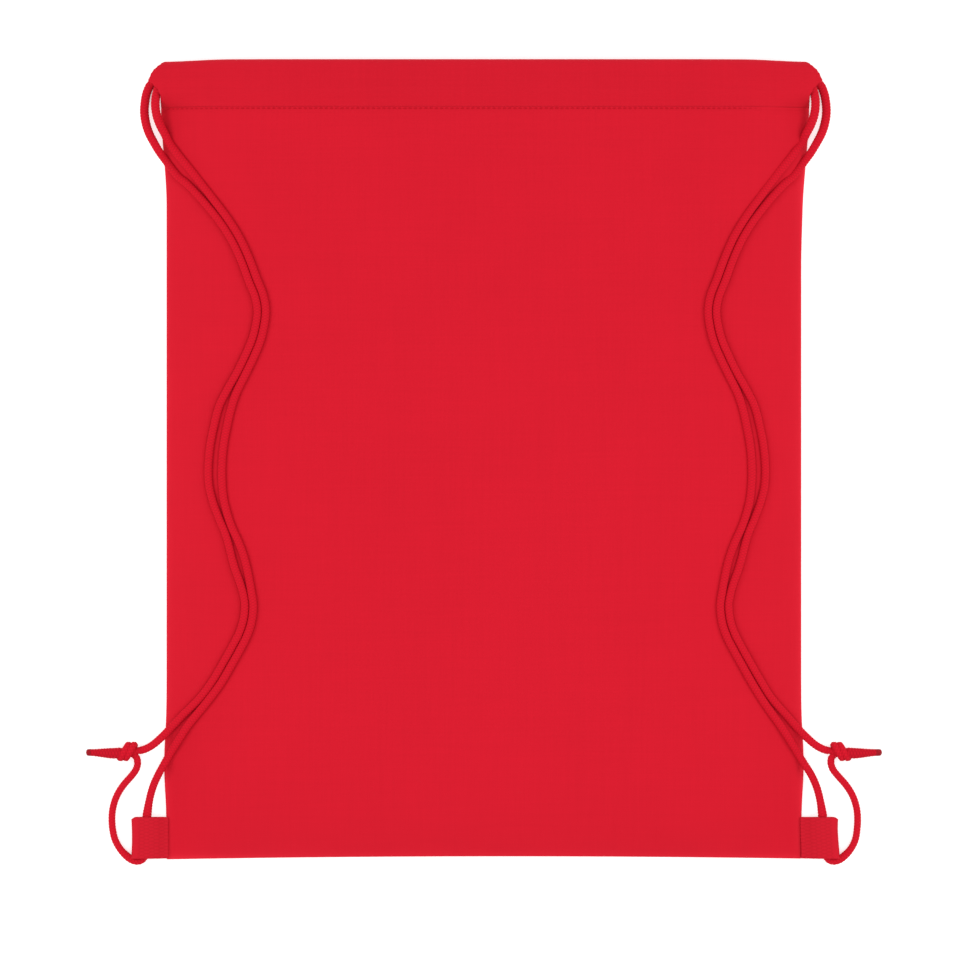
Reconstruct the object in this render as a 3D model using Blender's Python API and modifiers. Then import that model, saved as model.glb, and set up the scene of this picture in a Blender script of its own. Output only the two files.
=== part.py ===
"""Drawstring backpack, empty, lying on its back on a flat surface.

Frame: the bag lies on the plane z = 0, +X to the right, +Y towards the mouth, +Z up.
The origin is under the middle of the sewn bag.  All sizes are in metres.
The left and right halves mirror each other, so most places are given as a
distance out from the middle, and a side of -1 (left) or +1 (right).
"""
import math

import bpy
from mathutils import Vector

# ---- driving dimensions ----------------------------------------------------------------
BAG_HALF_WIDTH = 0.1700      # middle to side seam, over most of the height
MOUTH_HALF_WIDTH = 0.1730    # the side seams spread a little below the hem
MOUTH_SPREAD_Y = 0.135       # they start to spread here,
MOUTH_SPREAD = 0.055         # and reach their full width over this much
BAG_TOP = 0.2137             # top fold of the hem
BAG_BOTTOM = -0.2135         # bottom seam
STITCH_Y = 0.1884            # hem fold line, where the casing is stitched down
STITCH_GAP = 0.0004          # the panels stop this short of it, and the casings start so
PANEL_TOP = STITCH_Y - STITCH_GAP
FABRIC = 0.0008              # one ply of the woven fabric
SEAM_HEIGHT = 0.0015         # middle of the front ply where it meets the seam
PANEL_HEIGHT = 0.0134        # middle of the front ply where the bag is full
CROWN = 0.0014               # extra swell in the very middle of the front
CROWN_REACH = 0.19           # it dies away this far above and below the middle
SIDE_SWELL = 0.060           # the front rises to its height over this much, from the sides
BOTTOM_SWELL = 0.050         # and over this much, from the bottom seam
SWELL_POWER = 2.2            # how fast it rises at first
GAP = 0.0003                 # clearance between pieces that touch

CORD = 0.0040                # braided draw cord, diameter
CASING_DEPTH = 0.0064        # outside height of a hem casing with cord in it
CASING_CENTRE = 0.0144       # middle of the front casing above the surface, at mid-width
CASING_DROOP = 0.0068        # how far the front casing sinks towards its ends
DROOP_START = 0.105          # where it starts to sink, from the middle
CASING_CUT = 0.144           # the inner ply of a casing stops here, so the cord can cross
CASING_DIP = 0.0060          # how far the inner ply may drop from the channel to the stitches
EAR = [(0.1884, 0.1730), (0.1950, 0.1731), (0.2046, 0.1788), (0.2085, 0.1765),
       (0.2120, 0.1728), (0.2137, 0.1690)]     # outline of a casing end: (y, distance out)
TRACK_LOW = 0.1987           # the two cords lie side by side in a casing
TRACK_HIGH = 0.2043
RUN_END = 0.156              # end of a cord's straight run in the casing
TURN_START = 0.147           # where a cord turns from one casing into the other
TURN_TRIM = 0.0007           # a turn stops this short of the runs it joins
CUT_TRIM = 0.0003            # and a strand this short of the next one
SLOPE_LIFT = 0.0004          # extra height of a cord where the front slopes
CROSSING_Y = 0.150           # outside the side seam a cord keeps the height it has here

THREAD = 0.0006              # sewing thread
HEM_THREAD_Y = STITCH_Y - 0.0012
HEM_THREAD_RISE = 0.0007     # middle of the hem thread above the outside of the front ply
HEM_THREAD_HALF = 0.168      # half the length of the row across the front
INNER_THREAD_HALF = 0.150    # and of the row inside the back hem
SIDE_THREAD = (-0.182, 0.180)     # ends of the rows down the side seams
BOTTOM_THREAD_HALF = 0.148
ALLOWANCE = 0.0012           # turned-in seam allowance, two plies pressed
ALLOWANCE_WIDTH = 0.008
ALLOWANCE_BOTTOM = -0.184    # the side allowances run between these two heights
ALLOWANCE_TOP = 0.183
ALLOWANCE_HALF = 0.150       # half the length of the bottom allowance
ALLOWANCE_IN = 0.0045        # from the seam to the allowance
ALLOWANCE_Z = FABRIC + GAP + ALLOWANCE / 2
THREAD_IN = 0.0045           # from the allowance edge to its stitching
THREAD_Z = ALLOWANCE_Z + ALLOWANCE / 2 + GAP + THREAD / 2
BACK_THREAD_Z = FABRIC + GAP + THREAD / 2

TAB_WEBBING = 0.0011         # thickness of the webbing tab
TAB_TOP = -0.1926
TAB_BOTTOM = -0.2137
TAB_SECTION = [(0.1704, 0.0006), (0.1760, 0.0006), (0.1820, 0.0006), (0.1860, 0.0006),
               (0.1878, 0.0013), (0.1884, 0.0036), (0.1878, 0.0059), (0.1860, 0.0066),
               (0.1800, 0.0066), (0.1760, 0.0052), (0.1704, 0.0024)]     # (distance out, z)

KNOT_CENTRE = (0.1912, -0.1571, 0.0043)
KNOT_CAGE = (0.0150, 0.0118, 0.0104)       # the knot is this block, rounded off
TAIL_START = 0.1982          # the cut ends of the cord stick out of the knot
TAIL_SEAL = 0.2108           # from here to the tip the end is melted hard
TAIL_TIP = 0.2130
TAIL_HEIGHTS = {"lower": 0.0021, "upper": 0.0064}
TAIL_SKEW = (-0.0003, -0.0001, 0.0)        # y of start, seal and tip, from the knot's

# distance between the rings of points along a cord
STRAND_STEP = 2.7 * CORD
BEND_STEP = 0.0068
LOOP_STEP = 0.0042
RUN_STEP = 0.022
TURN_STEP = 0.0028
TAIL_STEP = 0.006
SEAL_STEP = 0.010
HEM_THREAD_STEP = 0.014
THREAD_STEP = 0.1
RUN_POINTS = 15
TURN_POINTS = 17
HEM_POINTS = 49

SIDES = {"left": -1, "right": 1}
FABRIC_RED = (0.70, 0.016, 0.031)
CORD_RED = (0.55, 0.012, 0.024)
TAB_RED = (0.62, 0.013, 0.028)
THREAD_RED = (0.48, 0.010, 0.022)
SEAL_RED = (0.36, 0.008, 0.016)

# ---- the two strands of a strap, lying side by side on the front ------------------------
# (distance out, y, half the distance between the two strands)
PAIR_ROUTE = [
    (0.1615, 0.1542, 0.0037), (0.1564, 0.1488, 0.0030), (0.1479, 0.1384, 0.0024),
    (0.1398, 0.1274, 0.0023), (0.1338, 0.1172, 0.0023), (0.1291, 0.1065, 0.0023),
    (0.1251, 0.0957, 0.0023), (0.1217, 0.0871, 0.0023), (0.1204, 0.0796, 0.0023),
    (0.1211, 0.0721, 0.0023), (0.1232, 0.0635, 0.0023), (0.1267, 0.0550, 0.0023),
    (0.1314, 0.0453, 0.0023), (0.1362, 0.0362, 0.0025), (0.1400, 0.0271, 0.0032),
    (0.1425, 0.0169, 0.0037), (0.1444, 0.0067, 0.0037), (0.1453, -0.0040, 0.0039),
    (0.1451, -0.0137, 0.0038), (0.1435, -0.0228, 0.0032), (0.1408, -0.0314, 0.0025),
    (0.1381, -0.0383, 0.0024), (0.1358, -0.0442, 0.0032), (0.1341, -0.0512, 0.0042),
    (0.1322, -0.0582, 0.0039), (0.1298, -0.0652, 0.0030), (0.1279, -0.0721, 0.0024),
    (0.1271, -0.0786, 0.0023), (0.1279, -0.0866, 0.0023), (0.1303, -0.0941, 0.0023),
    (0.1341, -0.1016, 0.0023), (0.1389, -0.1102, 0.0023), (0.1445, -0.1199, 0.0023),
    (0.1510, -0.1295, 0.0023),
]
# (distance out, y, z); a z of None means that the cord lies on the front of the bag there
OUTER_TOP = [
    (0.1680, 0.2020, 0.0032), (0.1730, 0.2022, 0.0032), (0.1775, 0.2002, 0.0031),
    (0.1807, 0.1960, 0.0029), (0.1823, 0.1905, 0.0027), (0.1825, 0.1850, 0.0028),
    (0.1814, 0.1795, 0.0032), (0.1794, 0.1745, 0.0038), (0.1768, 0.1695, 0.0045),
    (0.1739, 0.1646, 0.0051), (0.1706, 0.1600, None),
]
INNER_TOP = [
    (0.1680, 0.2020, 0.0085), (0.1722, 0.2013, 0.0077), (0.1752, 0.1985, 0.0074),
    (0.1766, 0.1935, 0.0072), (0.1768, 0.1880, 0.0071), (0.1758, 0.1828, 0.0069),
    (0.1739, 0.1783, 0.0066), (0.1714, 0.1740, 0.0063), (0.1688, 0.1697, None),
    (0.1653, 0.1648, None), (0.1612, 0.1596, None),
]
OUTER_BOTTOM = [
    (0.1617, -0.1373, None), (0.1654, -0.1408, None), (0.1692, -0.1445, None),
    (0.1732, -0.1487, 0.0046), (0.1775, -0.1526, 0.0043), (0.1815, -0.1554, 0.0042),
    (0.1846, -0.1567, 0.0042),
]
INNER_BOTTOM = [
    (0.1572, -0.1413, None), (0.1604, -0.1459, None), (0.1633, -0.1504, None),
    (0.1662, -0.1550, None), (0.1690, -0.1597, None), (0.1717, -0.1645, 0.0046),
    (0.1743, -0.1692, 0.0038), (0.1767, -0.1743, 0.0032), (0.1784, -0.1794, 0.0031),
    (0.1796, -0.1848, 0.0033), (0.1804, -0.1900, 0.0035), (0.1808, -0.1940, 0.0036),
]
LOWER_LOOP = [
    (0.1808, -0.1940, 0.0036), (0.1814, -0.2015, 0.0036), (0.1826, -0.2078, 0.0036),
    (0.1840, -0.2122, 0.0036), (0.1858, -0.2152, 0.0033), (0.1886, -0.2163, 0.0027),
    (0.1911, -0.2155, 0.0022), (0.1933, -0.2132, 0.0021), (0.1954, -0.2098, 0.0021),
    (0.1974, -0.2054, 0.0021),
    (0.1990, -0.1998, 0.0021), (0.1997, -0.1939, 0.0021), (0.1995, -0.1882, 0.0021),
    (0.1982, -0.1829, 0.0021), (0.1960, -0.1778, 0.0021), (0.1928, -0.1735, 0.0022),
    (0.1893, -0.1702, 0.0026), (0.1865, -0.1668, 0.0033), (0.1855, -0.1636, 0.0040),
    (0.1857, -0.1622, 0.0042),
]
STRAP_TOP_Y = 0.1450         # the strap strands proper run between these two lines
STRAP_BOTTOM_Y = -0.1330
EXIT_Y = 0.1740              # the inner strand leaves the front hem above this line
EDGE_OUT = 0.1722            # where the lower ends pass over the side seam


# ---- small helpers ---------------------------------------------------------------------
def ease(value):
    """Smooth step from 0 to 1."""
    t = min(max(value, 0.0), 1.0)
    return t * t * (3.0 - 2.0 * t)


def rise(distance, width):
    """0 at a seam, 1 where the swell is complete, steep first and then level."""
    t = min(max(distance / width, 0.0), 1.0)
    return 1.0 - (1.0 - t) ** SWELL_POWER


def half_width(y):
    """Distance from the middle to the side seam."""
    spread = ease((y - MOUTH_SPREAD_Y) / MOUTH_SPREAD)
    return BAG_HALF_WIDTH + (MOUTH_HALF_WIDTH - BAG_HALF_WIDTH) * spread


def front_height(x, y):
    """Height of the middle of the front ply above the surface."""
    sides = rise(half_width(y) - abs(x), SIDE_SWELL)
    bottom = rise(y - BAG_BOTTOM, BOTTOM_SWELL)
    crown = CROWN * max(0.0, 1.0 - (y / CROWN_REACH) ** 2)
    return SEAM_HEIGHT + (PANEL_HEIGHT - SEAM_HEIGHT + crown) * sides * bottom


def casing_centre(x):
    """Height of the middle of the front hem casing, which sinks towards its ends."""
    t = (abs(x) - DROOP_START) / (MOUTH_HALF_WIDTH - DROOP_START)
    return CASING_CENTRE - CASING_DROOP * min(max(t, 0.0), 1.0) ** 2


def lie_on_front(out, y):
    """Height of a cord's middle where it lies on the front of the bag."""
    if out > BAG_HALF_WIDTH:
        y = min(y, CROSSING_Y)
    return front_height(out, y) + FABRIC / 2 + CORD / 2 + GAP + SLOPE_LIFT


def smooth_line(points, step=0.001):
    """A dense line along a smooth curve through the points (Catmull-Rom)."""
    pts = [Vector(p) for p in points]
    pts = [2 * pts[0] - pts[1]] + pts + [2 * pts[-1] - pts[-2]]
    line = []
    for i in range(1, len(pts) - 2):
        before, start, end, after = pts[i - 1:i + 3]
        count = max(2, round((end - start).length / step))
        for k in range(count):
            t = k / count
            line.append(0.5 * (2 * start + (end - before) * t
                               + (2 * before - 5 * start + 4 * end - after) * t ** 2
                               + (3 * start - before - 3 * end + after) * t ** 3))
    line.append(pts[-2])
    return line


def stretch(line, keep):
    """The longest part of a line whose points pass the test keep."""
    runs = [[]]
    for point in line:
        if keep(point):
            runs[-1].append(point)
        elif runs[-1]:
            runs.append([])
    return max(runs, key=len)


def shorten(line, at_start=0.0, at_end=0.0):
    """Trim a line by a length at each end."""
    def trim(points, length):
        points = list(points)
        while length > 0 and (points[1] - points[0]).length <= length:
            length -= (points[1] - points[0]).length
            points.pop(0)
        if length > 0:
            points[0] = points[0] + (points[1] - points[0]).normalized() * length
        return points
    return trim(trim(line, at_start)[::-1], at_end)[::-1]


def spaced(line, spacing):
    """Points about one spacing apart along a line, with both ends kept."""
    lengths = [0.0]
    for a, b in zip(line, line[1:]):
        lengths.append(lengths[-1] + (b - a).length)
    count = max(1, round(lengths[-1] / spacing))
    result = []
    i = 0
    for k in range(count + 1):
        goal = lengths[-1] * k / count
        while i < len(line) - 2 and lengths[i + 1] < goal:
            i += 1
        t = (goal - lengths[i]) / (lengths[i + 1] - lengths[i])
        result.append(line[i].lerp(line[i + 1], t))
    return result


# ---- scene and materials ---------------------------------------------------------------
for old in list(bpy.data.objects):
    bpy.data.objects.remove(old, do_unlink=True)

bag = bpy.data.collections.new("drawstring_backpack")
bpy.context.scene.collection.children.link(bag)


def make_material(name, colour, roughness):
    material = bpy.data.materials.new(name)
    material.use_nodes = True
    shader = material.node_tree.nodes["Principled BSDF"]
    shader.inputs["Base Color"].default_value = (*colour, 1.0)
    shader.inputs["Roughness"].default_value = roughness
    shader.inputs["Metallic"].default_value = 0.0
    return material


def place(obj, name, colour, roughness=0.85):
    """Name an object, give it its own material and move it to the bag's collection."""
    obj.name = name
    obj.data.name = name
    obj.data.materials.clear()
    obj.data.materials.append(make_material(name, colour, roughness))
    for collection in list(obj.users_collection):
        collection.objects.unlink(obj)
    bag.objects.link(obj)
    return obj


def fabric_sheet(name, colour, columns, rows, shape, thickness):
    """A grid whose points are put in place by shape(u, v), given a thickness.

    u and v run from 0 to 1 across the columns and the rows.
    """
    bpy.ops.mesh.primitive_grid_add(x_subdivisions=columns, y_subdivisions=rows, size=1.0)
    obj = bpy.context.object
    for vertex in obj.data.vertices:
        vertex.co = shape(vertex.co.x + 0.5, vertex.co.y + 0.5)
    solid = obj.modifiers.new("ply", "SOLIDIFY")
    solid.thickness = thickness
    solid.offset = 0.0
    solid.use_even_offset = True
    place(obj, name, colour)
    obj.data.shade_smooth()
    return obj


def cord(name, line, spacing, colour=CORD_RED, diameter=CORD):
    """A round cord along a line, with flat ends."""
    curve = bpy.data.curves.new(name, "CURVE")
    curve.dimensions = "3D"
    curve.bevel_depth = diameter / 2
    curve.bevel_resolution = 2
    curve.use_fill_caps = True
    points = spaced(line, spacing)
    spline = curve.splines.new("POLY")
    spline.points.add(len(points) - 1)
    for point, co in zip(spline.points, points):
        point.co = (*co, 1.0)
    obj = bpy.data.objects.new(name, curve)
    bpy.context.scene.collection.objects.link(obj)
    return place(obj, name, colour, 0.75)


# ---- panels ----------------------------------------------------------------------------
def front_shape(u, v):
    """The columns close up towards the sides and the rows towards the bottom seam."""
    y = BAG_BOTTOM + v ** 1.5 * (PANEL_TOP - BAG_BOTTOM)
    t = 2 * u - 1
    x = half_width(y) * t * (1.5 - 0.5 * t * t)
    return Vector((x, y, front_height(x, y)))


def back_shape(u, v):
    y = BAG_BOTTOM + v * (PANEL_TOP - BAG_BOTTOM)
    return Vector((half_width(y) * (2 * u - 1), y, FABRIC / 2))


fabric_sheet("front_panel", FABRIC_RED, 20, 18, front_shape, FABRIC)
fabric_sheet("back_panel", FABRIC_RED, 4, 8, back_shape, FABRIC)


# ---- hem casings -----------------------------------------------------------------------
def outline_out(y):
    """How far out the outer ply of a casing reaches: it runs out to a point, the ear."""
    for (y0, out0), (y1, out1) in zip(EAR, EAR[1:]):
        if y <= y1:
            return out0 + (out1 - out0) * max(0.0, y - y0) / (y1 - y0)
    return EAR[-1][1]


def casing_ring(centre, edge):
    """Section of a casing as (y, z, is it the outer ply), from inner to outer edge.

    centre is the height of the channel, edge that of the outer ply at the stitches;
    this is the front casing, and the back one is its mirror image in z.
    """
    half = (CASING_DEPTH - FABRIC) / 2
    inner_edge = min(edge, centre) - FABRIC - GAP
    start = STITCH_Y + STITCH_GAP
    return [
        (start, max(inner_edge, centre - half - CASING_DIP), False),
        (0.1935, centre - half, False), (0.2000, centre - half, False),
        (0.2065, centre - half, False), (0.2110, centre - half * 0.92, False),
        (0.2128, centre - half * 0.5, False), (BAG_TOP - FABRIC / 2, centre, True),
        (0.2128, centre + half * 0.5, True), (0.2110, centre + half * 0.92, True),
        (0.2065, centre + half, True), (0.2015, centre + half, True),
        (0.1965, centre + half * 0.97, True),
        (0.1925, edge + (centre + half - edge) * 0.62, True), (start, edge, True),
    ]


RING_POINTS = len(casing_ring(0.0, 0.0))


def casing_shape(front):
    """Shape function of a casing: u runs along the hem, v round its section."""
    def shape(u, v):
        across = 2 * u - 1
        side = abs(across)
        step = round(v * (RING_POINTS - 1))
        outer = casing_ring(0.0, 0.0)[step][2]
        y = casing_ring(0.0, 0.0)[step][0]
        out = outline_out(y) if outer else CASING_CUT
        x = math.copysign(out * side, across)
        if front:
            ring = casing_ring(casing_centre(x), front_height(x, STITCH_Y))
            return Vector((x, y, ring[step][1]))
        half = CASING_DEPTH / 2
        ring = casing_ring(half, CASING_DEPTH - FABRIC / 2)
        return Vector((x, y, CASING_DEPTH - ring[step][1]))
    return shape


for name, front in (("front_hem_casing", True), ("back_hem_casing", False)):
    fabric_sheet(name, FABRIC_RED, 24, RING_POINTS - 1, casing_shape(front), FABRIC)


# ---- turned-in seam allowances and their stitching --------------------------------------
for side_name, side in SIDES.items():
    seam = side * (BAG_HALF_WIDTH - ALLOWANCE_IN)

    def allowance_shape(u, v, seam=seam, side=side):
        y = ALLOWANCE_BOTTOM + v * (ALLOWANCE_TOP - ALLOWANCE_BOTTOM)
        return Vector((seam - side * ALLOWANCE_WIDTH * u, y, ALLOWANCE_Z))

    fabric_sheet(side_name + "_seam_allowance", FABRIC_RED, 1, 2, allowance_shape, ALLOWANCE)
    thread_x = seam - side * THREAD_IN
    cord(side_name + "_side_stitching", [Vector((thread_x, y, THREAD_Z)) for y in SIDE_THREAD],
         THREAD_STEP, THREAD_RED, THREAD)


def bottom_allowance_shape(u, v):
    x = (2 * u - 1) * ALLOWANCE_HALF
    return Vector((x, BAG_BOTTOM + ALLOWANCE_IN + ALLOWANCE_WIDTH * v, ALLOWANCE_Z))


fabric_sheet("bottom_seam_allowance", FABRIC_RED, 2, 1, bottom_allowance_shape, ALLOWANCE)
bottom_thread_y = BAG_BOTTOM + ALLOWANCE_IN + THREAD_IN
cord("bottom_stitching",
     [Vector((x, bottom_thread_y, THREAD_Z)) for x in (-BOTTOM_THREAD_HALF, BOTTOM_THREAD_HALF)],
     THREAD_STEP, THREAD_RED, THREAD)

hem_line = []
for k in range(HEM_POINTS):
    x = HEM_THREAD_HALF * (2 * k / (HEM_POINTS - 1) - 1)
    z = front_height(x, HEM_THREAD_Y) + FABRIC / 2 + HEM_THREAD_RISE
    hem_line.append(Vector((x, HEM_THREAD_Y, z)))
cord("front_hem_stitching", hem_line, HEM_THREAD_STEP, THREAD_RED, THREAD)
cord("back_hem_stitching",
     [Vector((x, HEM_THREAD_Y, BACK_THREAD_Z)) for x in (-INNER_THREAD_HALF, INNER_THREAD_HALF)],
     THREAD_STEP, THREAD_RED, THREAD)


# ---- webbing tabs ----------------------------------------------------------------------
for side_name, side in SIDES.items():
    def tab_shape(u, v, side=side):
        out, z = TAB_SECTION[round(u * (len(TAB_SECTION) - 1))]
        return Vector((side * out, TAB_BOTTOM + (TAB_TOP - TAB_BOTTOM) * v, z))

    fabric_sheet(side_name + "_webbing_tab", TAB_RED, len(TAB_SECTION) - 1, 2, tab_shape,
                 TAB_WEBBING)


# ---- draw cords ------------------------------------------------------------------------
def placed(points, side):
    """Route points of one side as places, lying on the front where z is None."""
    return [Vector((side * out, y, lie_on_front(out, y) if z is None else z))
            for out, y, z in points]


def pair_strand(sign):
    """Route of one strand of the pair: sign is +1 for the outer, -1 for the inner one."""
    route = []
    for i, (out, y, half_gap) in enumerate(PAIR_ROUTE):
        before = PAIR_ROUTE[max(i - 1, 0)]
        after = PAIR_ROUTE[min(i + 1, len(PAIR_ROUTE) - 1)]
        along = Vector((after[0] - before[0], after[1] - before[1])).normalized()
        route.append((out - sign * along.y * half_gap, y + sign * along.x * half_gap, None))
    return route


def cut_cord(name, line, keep, spacing=STRAND_STEP):
    """The part of a cord that passes the test keep, a little short at both ends."""
    return cord(name, shorten(stretch(line, keep), CUT_TRIM, CUT_TRIM), spacing)


OUTER_ROUTE = OUTER_TOP + pair_strand(1) + OUTER_BOTTOM
INNER_ROUTE = INNER_TOP + pair_strand(-1) + INNER_BOTTOM


def track(side, casing):
    """A cord keeps to the low track in one casing and to the high one in the other."""
    return TRACK_HIGH if (side > 0) == (casing == "back") else TRACK_LOW


def run_height(casing, x):
    return casing_centre(x) if casing == "front" else CASING_DEPTH / 2


for side_name, side in SIDES.items():
    outer_start = (RUN_END, track(side, "back"), run_height("back", RUN_END))
    inner_start = (RUN_END, track(side, "front"), run_height("front", RUN_END))
    outer = smooth_line(placed([outer_start] + OUTER_ROUTE, side))
    inner = smooth_line(placed([inner_start] + INNER_ROUTE, side))
    cut_cord(side_name + "_outer_strand_top", outer, lambda p: p.y > STRAP_TOP_Y, BEND_STEP)
    cut_cord(side_name + "_outer_strand", outer, lambda p: STRAP_BOTTOM_Y < p.y <= STRAP_TOP_Y)
    cut_cord(side_name + "_outer_strand_low", outer,
             lambda p: p.y <= STRAP_BOTTOM_Y and abs(p.x) < EDGE_OUT)
    cut_cord(side_name + "_outer_strand_end", outer,
             lambda p: p.y <= STRAP_BOTTOM_Y and abs(p.x) >= EDGE_OUT)
    cut_cord(side_name + "_inner_strand_exit", inner, lambda p: p.y > EXIT_Y, BEND_STEP)
    cut_cord(side_name + "_inner_strand_top", inner, lambda p: STRAP_TOP_Y < p.y <= EXIT_Y)
    cut_cord(side_name + "_inner_strand", inner, lambda p: STRAP_BOTTOM_Y < p.y <= STRAP_TOP_Y)
    cut_cord(side_name + "_inner_strand_low", inner,
             lambda p: p.y <= STRAP_BOTTOM_Y and abs(p.x) < EDGE_OUT)
    cut_cord(side_name + "_inner_strand_end", inner,
             lambda p: p.y <= STRAP_BOTTOM_Y and abs(p.x) >= EDGE_OUT)
    cut_cord(side_name + "_lower_loop", smooth_line(placed(LOWER_LOOP, side)),
             lambda p: True, LOOP_STEP)

# inside the hem: each cord runs through both casings and turns round at the far end
for side_name, side in SIDES.items():
    for casing in ("front", "back"):
        run = []
        for k in range(RUN_POINTS):
            x = side * (RUN_END - k * (RUN_END + TURN_START) / (RUN_POINTS - 1))
            run.append(Vector((x, track(side, casing), run_height(casing, x))))
        cord(side_name + "_cord_" + casing + "_run", shorten(run, CUT_TRIM, 0.0), RUN_STEP)
    far_end = -side * TURN_START
    front_end, back_end = [Vector((far_end, track(side, casing), run_height(casing, far_end)))
                           for casing in ("front", "back")]
    middle = (front_end + back_end) / 2
    half = (front_end - back_end) / 2
    turn = []
    for k in range(TURN_POINTS):
        angle = math.pi * k / (TURN_POINTS - 1)
        bulge = Vector((-side * half.length * math.sin(angle), 0.0, 0.0))
        turn.append(middle + half * math.cos(angle) + bulge)
    cord(side_name + "_cord_turn", shorten(turn, TURN_TRIM, TURN_TRIM), TURN_STEP)


# ---- knots and cut ends ----------------------------------------------------------------
for side_name, side in SIDES.items():
    out, y, z = KNOT_CENTRE
    bpy.ops.mesh.primitive_cube_add(size=1.0, location=(side * out, y, z))
    knot = bpy.context.object
    for vertex in knot.data.vertices:
        vertex.co = Vector([c * s for c, s in zip(vertex.co, KNOT_CAGE)])
    round_off = knot.modifiers.new("round", "SUBSURF")
    round_off.levels = 3
    round_off.render_levels = 3
    place(knot, side_name + "_knot", CORD_RED, 0.75)
    knot.data.shade_smooth()
    for level, tail_z in TAIL_HEIGHTS.items():
        start, seal, tip = [Vector((side * tail_out, y + skew, tail_z)) for tail_out, skew
                            in zip((TAIL_START, TAIL_SEAL, TAIL_TIP), TAIL_SKEW)]
        cord(side_name + "_" + level + "_tail", shorten([start, seal], 0.0, GAP), TAIL_STEP)
        cord(side_name + "_" + level + "_sealed_tip", [seal, tip], SEAL_STEP, SEAL_RED)
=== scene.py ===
# Drawstring backpack, empty, lying on its back.  All places are in metres: +X right,
# +Y towards the mouth, +Z up.  Left and right mirror each other, so most places are
# a distance out from the middle, with a side of -1 (left) or +1 (right).
import math

import bpy
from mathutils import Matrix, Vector, noise


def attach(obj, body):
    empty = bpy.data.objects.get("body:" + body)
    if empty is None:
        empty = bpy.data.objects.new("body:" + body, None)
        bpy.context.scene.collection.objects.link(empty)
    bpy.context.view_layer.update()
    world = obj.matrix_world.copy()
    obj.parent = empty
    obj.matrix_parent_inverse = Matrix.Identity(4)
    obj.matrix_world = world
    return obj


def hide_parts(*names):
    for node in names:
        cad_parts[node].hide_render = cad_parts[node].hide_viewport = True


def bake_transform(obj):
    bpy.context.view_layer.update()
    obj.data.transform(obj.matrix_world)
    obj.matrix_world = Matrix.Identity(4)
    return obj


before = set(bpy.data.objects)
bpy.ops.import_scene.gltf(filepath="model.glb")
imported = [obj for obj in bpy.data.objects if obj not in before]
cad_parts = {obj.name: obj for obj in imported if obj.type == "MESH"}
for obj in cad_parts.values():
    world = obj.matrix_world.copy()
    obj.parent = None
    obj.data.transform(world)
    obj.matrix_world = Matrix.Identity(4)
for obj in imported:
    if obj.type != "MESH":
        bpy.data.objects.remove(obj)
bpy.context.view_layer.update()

# ---- studio ------------------------------------------------------------------------------
# The bag is seen from straight above through a long lens, on a plain pale floor, lit by a
# wide soft lamp on either side and a soft one overhead.
VIEW_CENTRE = (-0.0019, -0.0115)
VIEW_WIDTH = 0.5148
LENS = 270.0
SENSOR = 36.0
FOCUS_HEIGHT = 0.006         # the view is this wide at this height
WHITE = (1.0, 1.0, 1.0, 1.0)
WORLD_STRENGTH = 0.80
SIDE_POWER = 3.2
TOP_POWER = 10.0
FLOOR_DROP = 0.0006          # the floor lies this far below the cloth
FLOOR_GREY = (0.82, 0.82, 0.82, 1.0)
FLOOR_GLOW = 0.42

scene = bpy.context.scene
camera_data = bpy.data.cameras.new("camera")
camera_data.lens = LENS
camera_data.sensor_width = SENSOR
camera_data.clip_end = 20.0
camera = bpy.data.objects.new("camera", camera_data)
camera.location = (*VIEW_CENTRE, FOCUS_HEIGHT + VIEW_WIDTH * LENS / SENSOR)
scene.collection.objects.link(camera)
scene.camera = camera

world = bpy.data.worlds.new("studio")
world.use_nodes = True
world.node_tree.nodes["Background"].inputs["Color"].default_value = WHITE
world.node_tree.nodes["Background"].inputs["Strength"].default_value = WORLD_STRENGTH
scene.world = world
scene.view_settings.view_transform = "Standard"


def soft_lamp(name, place, aim, size, power):
    """A square lamp that faces a point."""
    data = bpy.data.lights.new(name, "AREA")
    data.size = size
    data.energy = power
    lamp = bpy.data.objects.new(name, data)
    lamp.location = place
    lamp.rotation_euler = (Vector(aim) - Vector(place)).to_track_quat("-Z", "Y").to_euler()
    scene.collection.objects.link(lamp)


soft_lamp("left_lamp", (-1.0, 0.15, 0.62), (-0.12, 0.0, 0.0), 0.55, SIDE_POWER)
soft_lamp("right_lamp", (1.0, 0.15, 0.62), (0.12, 0.0, 0.0), 0.55, SIDE_POWER)
soft_lamp("top_lamp", (0.0, -0.35, 1.6), (0.0, 0.0, 0.0), 1.2, TOP_POWER)

bpy.ops.mesh.primitive_plane_add(size=8.0, location=(0.0, 0.0, -FLOOR_DROP))
floor = bpy.context.object
floor.name = "studio_floor"
floor_finish = bpy.data.materials.new("studio_paper")
floor_finish.use_nodes = True
floor_shader = floor_finish.node_tree.nodes["Principled BSDF"]
floor_shader.inputs["Base Color"].default_value = FLOOR_GREY
floor_shader.inputs["Roughness"].default_value = 1.0
floor_shader.inputs["Specular IOR Level"].default_value = 0.0
floor_shader.inputs["Emission Color"].default_value = WHITE
floor_shader.inputs["Emission Strength"].default_value = FLOOR_GLOW
floor.data.materials.append(floor_finish)


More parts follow.
